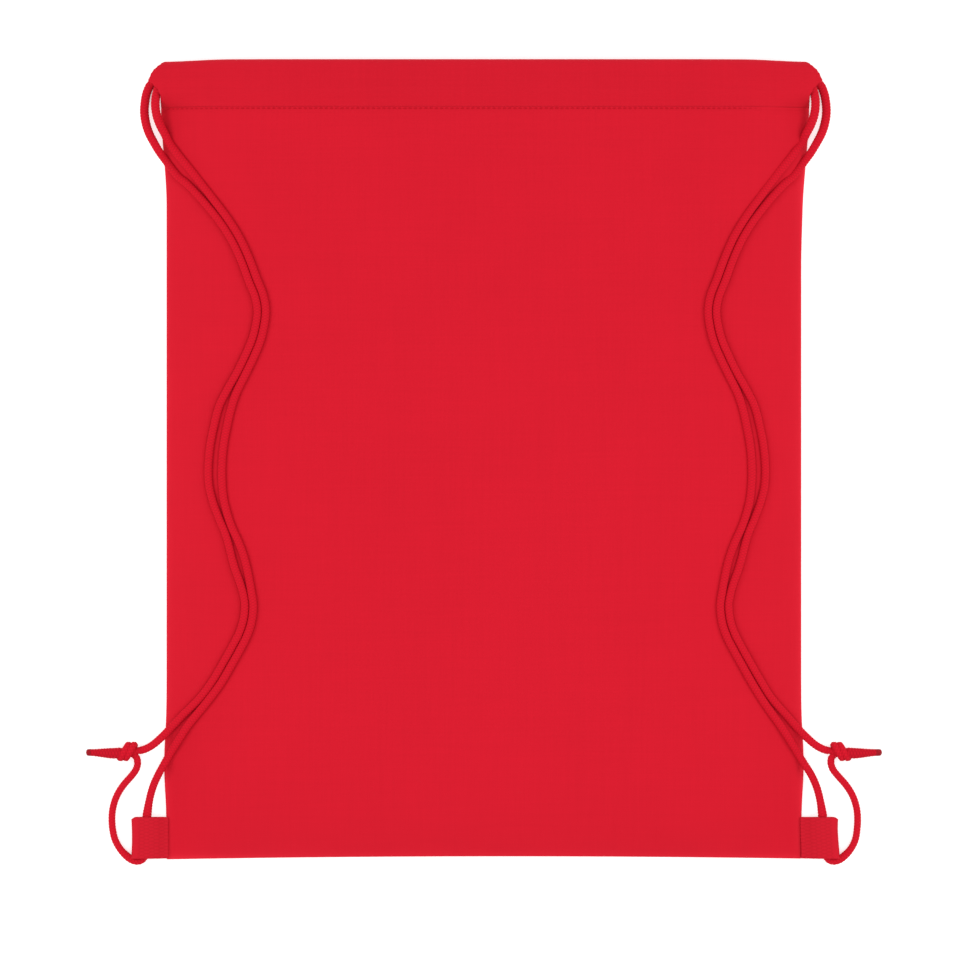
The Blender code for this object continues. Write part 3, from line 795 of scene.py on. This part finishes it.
def woven(name, shade, light, worn):
    """Plain weave: threads over and under each other, slubs, and a rubbed look at the edges."""
    cloth = Finish(name, Roughness=0.9, Specular_IOR_Level=0.12, Sheen_Weight=0.03,
                   Sheen_Roughness=0.6, Sheen_Tint=(1.0, 0.25, 0.25, 1.0))
    x, y, z = cloth.axes()
    weave = cloth.wave(x, THREAD_PITCH) * cloth.wave(y, THREAD_PITCH)
    warp = cloth.grain((1400.0, 25.0, 25.0))
    weft = cloth.grain((25.0, 1400.0, 25.0))
    cloud = cloth.grain((22.0, 22.0, 22.0), 3.0)
    rubbed = cloth.value("wear")
    # Painted shade: the cloth is darker between the threads of the weave, where shade falls. The warp and
    # weft streaks and the clouds are its own uneven tone.
    lightness = (0.22 * weave + (warp - 0.5) * 0.35 + (weft - 0.5) * 0.35
                 + (cloud - 0.5) * 0.30 + 0.48)
    colour = cloth.mix(lightness, shade, light)
    return cloth.show(
        Base_Color=cloth.mix(rubbed * (0.35 + 0.4 * cloud), colour, worn),
        Roughness=0.80 + 0.12 * weave - 0.10 * rubbed,
        Normal=cloth.relief(weave * 0.6 + warp * 0.2 + weft * 0.2, 0.00008))


cloth_finish = woven("woven_cloth", PANEL_SHADE, PANEL_RED, PANEL_WORN)
PLY_ROLL = 0.0005            # radius of the rolled edge


def sheet_faces(rows, columns):
    """Faces of a closed sheet, whose points are a grid on its front and then on its back."""
    far = rows * columns
    quads = [tuple(r * columns + c + corner for corner in (0, 1, columns + 1, columns))
             for r in range(rows - 1) for c in range(columns - 1)]
    rim = (list(range(columns)) + [r * columns + columns - 1 for r in range(1, rows)]
           + [(rows - 1) * columns + c for c in range(columns - 2, -1, -1)]
           + [r * columns for r in range(rows - 2, 0, -1)])
    return (quads + [tuple(k + far for k in reversed(quad)) for quad in quads]
            + [(b, a, a + far, b + far) for a, b in zip(rim, rim[1:] + rim[:1])])


def ply(grid, wear):
    """A closed mesh of one ply of cloth about a grid of places in its middle."""
    shape = Shape()
    rows, columns = len(grid), len(grid[0])
    for face in (1, -1):
        for r, row in enumerate(grid):
            for c, place in enumerate(row):
                across = row[min(c + 1, columns - 1)] - row[max(c - 1, 0)]
                along = grid[min(r + 1, rows - 1)][c] - grid[max(r - 1, 0)][c]
                normal = across.cross(along).normalized()
                shape.points.append(place + normal * (face * FABRIC / 2))
                shape.levels.append(wear(place))
    shape.faces = sheet_faces(rows, columns)
    return shape


WIDER_RIGHT = 0.0004         # the right side was sewn this much further out,
MOUTH_RIGHT = 0.0017         # its mouth is drawn out further,
EAR_RIGHT = 0.0019           # and its ear most of all
BOW_OUT = 0.0013             # the lower cords pull the side seam out this far,
BOW_Y, BOW_REACH = -0.163, 0.020     # here, over this much
SAG_MIDDLE, SAG_TILT, SAG_CORNERS = 0.0003, 0.0002, -0.0014
HEM_THREAD_Y = STITCH_Y - 0.0010
FURROW_DEPTH, FURROW_REACH = 0.00025, 0.0009


def drawn_right(y):
    """How much further out the cloth reaches on the right than on the left."""
    return (WIDER_RIGHT + (MOUTH_RIGHT - WIDER_RIGHT) * ease((y - 0.100) / 0.060)
            + (EAR_RIGHT - MOUTH_RIGHT) * ease((y - 0.193) / 0.008))


def edge_bow(y):
    """The cords pull the side seam out a little where they cross it, low down."""
    return BOW_OUT * math.exp(-((y - BOW_Y) / BOW_REACH) ** 2)


def bottom_sag(x):
    """The bottom seam bows: its corners lie lower than its middle, the left one most."""
    across = x / BAG_HALF_WIDTH
    return SAG_MIDDLE + SAG_TILT * across + SAG_CORNERS * across * across


def furrow(y):
    """The line of stitches draws the cloth down along the hem."""
    return FURROW_DEPTH * math.exp(-((y - HEM_THREAD_Y) / FURROW_REACH) ** 2)


ROLL_STEPS = 4
EDGE_WEAR = 0.0015           # how far in from a seam the cloth is rubbed


def near_seams(place):
    """How rubbed the cloth is: most along the rolled seams."""
    to_side = half_width(place.y) - abs(place.x)
    return math.exp(-min(to_side, place.y - BAG_BOTTOM) / EDGE_WEAR)


SIDE_CROWDING = 0.35         # how much closer the columns of points are by the sides


def panel_places(top, columns, rows, height, down):
    """Middle of a panel ply: flat rows and columns, and rolled edges at sides and bottom."""
    roll = [(PLY_ROLL * (1.0 - math.sin(math.pi / 2 * k / ROLL_STEPS)),
             PLY_ROLL * (1.0 - math.cos(math.pi / 2 * k / ROLL_STEPS)))
            for k in range(1, ROLL_STEPS + 1)]
    across = ([(-1.0, back, drop) for back, drop in reversed(roll)]
              + [(t * (1.0 + SIDE_CROWDING * (1.0 - t * t)), PLY_ROLL, 0.0)
                 for t in (2.0 * c / columns - 1.0 for c in range(columns + 1))]
              + [(1.0, back, drop) for back, drop in roll])
    upward = ([(0.0, back, drop) for back, drop in reversed(roll)]
              + [(v, PLY_ROLL, 0.0) for v in rows])
    grid = []
    for v, back, fall in upward:
        row = []
        for t, side_back, drop in across:
            y_flat = BAG_BOTTOM + back + v * (top - BAG_BOTTOM - back)
            reach = half_width(y_flat) + edge_bow(y_flat) - side_back
            x = t * (reach + (drawn_right(y_flat) if t > 0 else 0.0))
            y = y_flat + bottom_sag(x) * (1.0 - v) ** 4
            row.append(Vector((x, y, height(t * reach, y_flat) - down * (drop + fall))))
        grid.append(row)
    return grid


DRAWN_UP = 0.0013            # the hem lifts the top of the front this much


def front_place_height(x, y):
    """The front ply as it lies, drawn up to the hem and down along the stitches."""
    x = max(min(x, half_width(y)), -half_width(y))
    drawn_up = DRAWN_UP * ease((y - 0.160) / 0.028) * ease((half_width(y) - abs(x)) / 0.04)
    return cloth_height(x, y) + drawn_up - furrow(y)


ROW_COUNT, FINE_COUNT = 250, 16
FINE_START = 0.9855          # from this share of the height up, the rows are finer
FRONT_ROWS = [(k / ROW_COUNT) ** 1.15 * FINE_START for k in range(ROW_COUNT + 1)]
FRONT_ROWS += [FINE_START + (1.0 - FINE_START) * k / FINE_COUNT
               for k in range(1, FINE_COUNT + 1)]
front = ply(panel_places(STITCH_Y, 220, FRONT_ROWS, front_place_height, 1.0), near_seams)
front_panel = front.piece("front_cloth", cloth_finish, "panel_fabric", "wear")
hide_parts("front_panel")
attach(front_panel, "root")

BACK_ROWS = [k / 60 for k in range(61)]
back = ply(panel_places(STITCH_Y, 50, BACK_ROWS, lambda x, y: FABRIC / 2, -0.4), near_seams)
back_panel = back.piece("back_cloth", cloth_finish, "panel_fabric", "wear")
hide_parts("back_panel")
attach(back_panel, "root")


# ---- hem casings -------------------------------------------------------------------------
# The top of each panel is folded down inside and stitched, which leaves a channel for the
# two cords.  The outer fold runs out to an ear at each side, where the cords come out.
CASING_DEPTH = 0.0064        # outside height of a casing with the cords in it
CASING_CENTRE = 0.0144       # middle of the front casing, at mid-width
CASING_DROOP = 0.0068        # how far it sinks towards its ends,
DROOP_START = 0.105          # from here out
CASING_CUT = 0.144           # the inner ply stops here, so the cord can cross
CASING_DIP = 0.0060          # how far the inner ply may drop to the stitches
BAG_TOP = 0.2137
# (y, distance out)
EAR = [(0.1884, 0.1730), (0.1945, 0.1731), (0.1978, 0.1745), (0.2003, 0.1768),
       (0.2023, 0.1796), (0.2055, 0.1783), (0.2082, 0.1769), (0.2104, 0.1749),
       (0.2123, 0.1727), (0.2137, 0.1702)]


def outline_out(y):
    """How far out the outer ply of a casing reaches at this height up the hem."""
    for (y0, out0), (y1, out1) in zip(EAR, EAR[1:]):
        if y <= y1:
            share = max(0.0, y - y0) / (y1 - y0)
            return out0 + (out1 - out0) * (ease(share) if y0 > STITCH_Y else share)
    return EAR[-1][1]


def casing_centre(x):
    """Height of the middle of the front hem casing, which sinks towards its ends."""
    t = (abs(x) - DROOP_START) / (MOUTH_HALF_WIDTH - DROOP_START)
    return CASING_CENTRE - CASING_DROOP * min(max(t, 0.0), 1.0) ** 2


PLY_GAP = 0.0003             # between plies that lie on each other


def casing_ring(centre, edge):
    """Section of a casing as (y, z, share of the outer outline), inner to outer edge."""
    half = (CASING_DEPTH - FABRIC) / 2
    inner_edge = min(edge, centre) - FABRIC - PLY_GAP
    return [
        (STITCH_Y + 0.0004, max(inner_edge, centre - half - CASING_DIP), 0.0),
        (0.1935, centre - half, 0.0), (0.2000, centre - half, 0.0),
        (0.2065, centre - half, 0.0), (0.2110, centre - half * 0.92, 0.0),
        (0.2129, centre - half * 0.5, 0.4), (BAG_TOP - FABRIC / 2, centre, 1.0),
        (0.2129, centre + half * 0.5, 1.0), (0.2110, centre + half * 0.92, 1.0),
        (0.2065, centre + half, 1.0), (0.2015, centre + half, 1.0),
        (0.1965, centre + half * 0.97, 1.0),
        (0.1925, edge + (centre + half - edge) * 0.62, 1.0), (STITCH_Y, edge, 1.0),
    ]


PUCKER = 0.00085             # depth of the short folds at the stitches
PUCKER_REACH = 0.011         # how far up the hem they run


def pucker(x, y):
    """Short upright folds where the stitches draw the hem in, deepest near the ends."""
    near_line = math.exp(-(y - STITCH_Y) / PUCKER_REACH)
    near_end = 0.45 + 0.9 * ease((abs(x) - 0.120) / 0.045)
    folds = noise.noise(Vector((x * 85.0, y * 14.0, 8.2)))
    return PUCKER * near_line * near_end * folds * ease((y - STITCH_Y) / 0.0015)


CASING_COLUMNS = 300         # columns of points along a casing
CASING_POINTS = 76           # points round its section
CASING_STEP = 0.0004
SHARE_SCALE = 0.001          # keeps the share small beside the lengths of the section
END_PULL = 0.0010            # the cords pull the top of the ears down


def casing_grid(front_side):
    """Places in the middle of a casing's ply."""
    grid = []
    for c in range(CASING_COLUMNS + 1):
        across = 2.0 * c / CASING_COLUMNS - 1.0
        across = across * (1.2 - 0.2 * across * across)
        x_guess = across * MOUTH_HALF_WIDTH
        if front_side:
            ring = casing_ring(casing_centre(x_guess), front_place_height(x_guess, STITCH_Y))
        else:
            ring = casing_ring(CASING_DEPTH / 2, CASING_DEPTH - FABRIC / 2)
        line = smooth_line([Vector((y, z, share * SHARE_SCALE)) for y, z, share in ring],
                           CASING_STEP)
        line = [line[round(k * (len(line) - 1) / (CASING_POINTS - 1))]
                for k in range(CASING_POINTS)]
        column = []
        for y, z, share in line:
            share = min(max(share / SHARE_SCALE, 0.0), 1.0)
            out = CASING_CUT + (outline_out(y) - CASING_CUT) * share
            if across > 0:
                out += share * drawn_right(y)
            x = across * out
            pulled = END_PULL * ease((abs(across) - 0.80) / 0.20) * ease((y - 0.205) / 0.008)
            y = min(y, BAG_TOP - FABRIC / 2) - pulled
            lift = pucker(x, y) if share > 0.5 else 0.0
            if y > 0.1935:
                lift = max(lift, 0.0) + 0.0002 * ease((y - 0.1935) / 0.002)
            top = z + lift if front_side else CASING_DEPTH - z
            column.append(Vector((x, y, max(top, FABRIC / 2))))
        grid.append(column)
    return grid


def hem_wear(place):
    """How rubbed a hem is: most along its top fold, and along the stitches."""
    return math.exp(-(BAG_TOP - place.y) / 0.0012) + 0.5 * math.exp(
        -abs(place.y - HEM_THREAD_Y) / 0.0008)


# Painted shade: the hem is the same cloth as the panels, coloured a little darker.
hem_finish = woven("hem_cloth", tuple(0.96 * c for c in PANEL_SHADE),
                   tuple(0.97 * c for c in PANEL_RED), PANEL_WORN)
for name, front_side in (("front_hem", True), ("back_hem", False)):
    grid = casing_grid(front_side)
    if not front_side:
        grid = grid[::-1]
    hem = ply(grid, hem_wear).piece(name + "_cloth", hem_finish, "hem_fabric", "wear")
    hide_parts(name + "_casing")
    if front_side:
        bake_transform(hem)
    else:
        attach(hem, "root")

for side_name in SIDES:
    for node in ("_cord_front_run", "_cord_back_run", "_cord_turn"):
        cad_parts[side_name + node].data.materials[0] = braid_finish


# ---- seam allowances ---------------------------------------------------------------------
# Inside the bag the raw edges of both plies lie together, pressed to one side and stitched
# through.
for name in ("left_seam_allowance", "right_seam_allowance", "bottom_seam_allowance"):
    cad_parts[name].data.materials[0] = cloth_finish


# ---- stitching ---------------------------------------------------------------------------
# Lockstitch in matching polyester thread.  Each stitch is a short bar that dips into its
# needle holes at both ends.
STITCH = 0.0028
STITCH_BAR = 0.0022          # the seen part of each stitch
THREAD = 0.00055
THREAD_AROUND = 8
THREAD_RINGS = 7
THREAD_DARK = (0.40, 0.0036, 0.0120, 1.0)
THREAD_LIGHT = (0.51, 0.0050, 0.0165, 1.0)
TWIST_PITCH = 0.00045

thread = Finish("sewing_thread", Roughness=0.6, Specular_IOR_Level=0.06)
twist_x, twist_y, twist_z = thread.axes()
# Painted shade: the thread is darker in the grooves of its twist. The fuzz is its own uneven tone.
twist = thread.wave(twist_x + twist_y * 0.8, TWIST_PITCH)
fuzz = thread.grain((3000.0, 3000.0, 3000.0))
thread_finish = thread.show(
    Base_Color=thread.mix(twist * 0.6 + fuzz * 0.4, THREAD_DARK, THREAD_LIGHT),
    Roughness=0.5 + 0.2 * fuzz,
    Normal=thread.relief(twist, 0.00005))


def stitch_row(name, line, *nodes):
    """A row of stitches along a line, each slightly aslant."""
    shape = Shape()
    points = spaced(line, STITCH)
    for number, (a, b) in enumerate(zip(points, points[1:])):
        along = (b - a).normalized()
        lateral = along.cross(Vector((0.0, 0.0, 1.0))).normalized()
        up = lateral.cross(along)
        slant = lateral * (0.00010 * noise.noise(Vector((number * 1.7, 0.3, 6.1))))
        rings, levels = [], []
        for k in range(THREAD_RINGS):
            t = k / (THREAD_RINGS - 1)
            arch = math.sin(math.pi * t)
            middle = ((a + b) / 2 + along * (STITCH_BAR * (t - 0.5)) + slant * (2.0 * t - 1.0)
                      + up * (THREAD * 0.75 * (arch ** 0.6 - 1.0)))
            radius = THREAD / 2 * (0.45 + 0.55 * min(arch * 2.5, 1.0))
            rings.append([middle + lateral * (radius * math.cos(angle))
                          - up * (radius * math.sin(angle))
                          for angle in (math.tau * j / THREAD_AROUND
                                        for j in range(THREAD_AROUND))])
            levels.append([0.0] * THREAD_AROUND)
        shape.tube(rings, levels)
    obj = shape.piece(name, thread_finish, "thread")
    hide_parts(*nodes)
    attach(obj, "root")


def on_front(y, end, height):
    """A line across the front at a fixed y, from side to side."""
    places = [end * (k / 60 - 1.0) for k in range(121)]
    return [Vector((x, y, front_place_height(x, y) + height)) for x in places]


HEM_ROW_END = 0.1700         # how far out each row of stitches reaches
BACK_ROW_END = 0.150
BOTTOM_ROW_END = 0.148
SIDE_ROW = (-0.182, 0.180)
ALLOWANCE = 0.0012           # thickness of the pressed seam allowances
ALLOWANCE_STITCH = 0.009     # from the seams in to their row of stitches
HALF_SUNK = THREAD * 0.4     # middle of a thread above the cloth it is sewn into
on_cloth = FABRIC + HALF_SUNK
on_allowance = FABRIC + PLY_GAP + ALLOWANCE + HALF_SUNK
bottom_row_y = BAG_BOTTOM + ALLOWANCE_STITCH
stitch_row("front_hem_stitches",
           on_front(HEM_THREAD_Y, HEM_ROW_END, FABRIC / 2 + THREAD * 0.28),
           "front_hem_stitching")
stitch_row("back_hem_stitches",
           [Vector((end, HEM_THREAD_Y, on_cloth)) for end in (-BACK_ROW_END, BACK_ROW_END)],
           "back_hem_stitching")
stitch_row("bottom_stitches",
           [Vector((end, bottom_row_y, on_allowance)) for end in (-BOTTOM_ROW_END, BOTTOM_ROW_END)],
           "bottom_stitching")
for side_name, side in SIDES.items():
    seam_x = side * (BAG_HALF_WIDTH - ALLOWANCE_STITCH)
    stitch_row(side_name + "_side_stitches",
               [Vector((seam_x, y, on_allowance)) for y in SIDE_ROW],
               side_name + "_side_stitching")


# ---- webbing tabs ------------------------------------------------------------------------
# A loop of ribbed polyester webbing, sewn into the side seam at each lower corner.  The
# cord runs through it.
TAB_TOP, TAB_BOTTOM = -0.1924, -0.2146
TAB_THICK = 0.0011
TAB_SECTION = [(0.1694, 0.0010), (0.1760, 0.0006), (0.1820, 0.0006), (0.1860, 0.0007),
               (0.1879, 0.0015), (0.1885, 0.0036), (0.1879, 0.0057), (0.1860, 0.0065),
               (0.1800, 0.0066), (0.1755, 0.0054), (0.1722, 0.0036), (0.1694, 0.0026)]
RIB_PITCH = 0.0019           # from one rib to the next,
RIB_COLUMN = 0.0026          # in columns of this width, each half a rib off the last
RIB_RELIEF = 0.00014
SELVEDGE = 0.1850            # past this the webbing is smooth
RIB_LIGHT = (0.512, 0.0046, 0.0170, 1.0)
RIB_DARK = (0.405, 0.0033, 0.0125, 1.0)
TAB_STEP = 0.00028
TAB_WAIST = 0.0004           # how much the tab narrows at mid-height
TAB_CORNER = 0.0013          # how far its upper corner is rounded off

# Painted shade: the webbing is coloured RIB_DARK in the grooves between its ribs, where shade falls, and
# RIB_LIGHT on the ribs. The yarn noise is its own uneven tone.
webbing = Finish("ribbed_webbing", Roughness=0.85, Specular_IOR_Level=0.15)
rib_hollow = webbing.value("hollow")
yarn = webbing.grain((1800.0, 600.0, 1800.0))
webbing_finish = webbing.show(
    Base_Color=webbing.mix(rib_hollow * 0.85 + (yarn - 0.5) * 0.3, RIB_LIGHT, RIB_DARK),
    Roughness=0.90 - 0.15 * yarn,
    Normal=webbing.relief(yarn, 0.00008))


def rib_level(out, y):
    """Grosgrain relief: 1 on a rib, 0 between ribs, smooth along the outer selvedge."""
    column = math.floor(out / RIB_COLUMN)
    row = abs(math.sin(math.pi * (y / RIB_PITCH + 0.5 * (column % 2))))
    between = abs(math.sin(math.pi * out / RIB_COLUMN))
    pattern = row ** 0.6 * (0.55 + 0.45 * between ** 0.4)
    plain = ease((out - SELVEDGE) / 0.0012)
    return pattern + (1.0 - pattern) * plain


for side_name, side in SIDES.items():
    section = spaced(smooth_line([Vector((out, z, 0.0)) for out, z in TAB_SECTION], TAB_STEP),
                     TAB_STEP)
    height = TAB_TOP - TAB_BOTTOM
    rows = round(height / TAB_STEP)
    tab = Shape()
    count = len(section)
    for face in (1.0, -1.0):
        for r in range(rows + 1):
            v = r / rows
            for i, spot in enumerate(section):
                along = (section[min(i + 1, count - 1)] - section[max(i - 1, 0)]).normalized()
                outward = Vector((along.y, -along.x))
                out, z = spot.x, spot.y
                waist = TAB_WAIST * math.sin(math.pi * v) * ease((out - 0.180) / 0.008)
                corner_round = TAB_CORNER * (max(out - 0.1864, 0.0) / 0.0021) ** 2
                y = TAB_BOTTOM + height * v
                y -= corner_round * (max(v - 0.85, 0.0) / 0.15) ** 2
                level = rib_level(out, y)
                away = TAB_THICK / 2 - (RIB_RELIEF * (1.0 - level) if face > 0 else 0.0)
                place_out = out - waist + outward.x * away * face
                place_z = max(z + outward.y * away * face, 0.0)
                moved = shift(side, y) * (0.6 + 0.4 * ease((out - TAB_SECTION[0][0]) / 0.006))
                tab.points.append(Vector((side * place_out + moved, y, place_z)))
                # The depth between the ribs is kept with the points, so that the finish can paint the
                # grooves darker as shade.
                tab.levels.append(1.0 - level)
    tab.faces = [corners if side < 0 else corners[::-1] for corners in sheet_faces(rows + 1, count)]
    tab_piece = tab.piece(side_name + "_tab_loop", webbing_finish, "tab_webbing")
    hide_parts(side_name + "_webbing_tab")
    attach(tab_piece, side_name + "_corner")
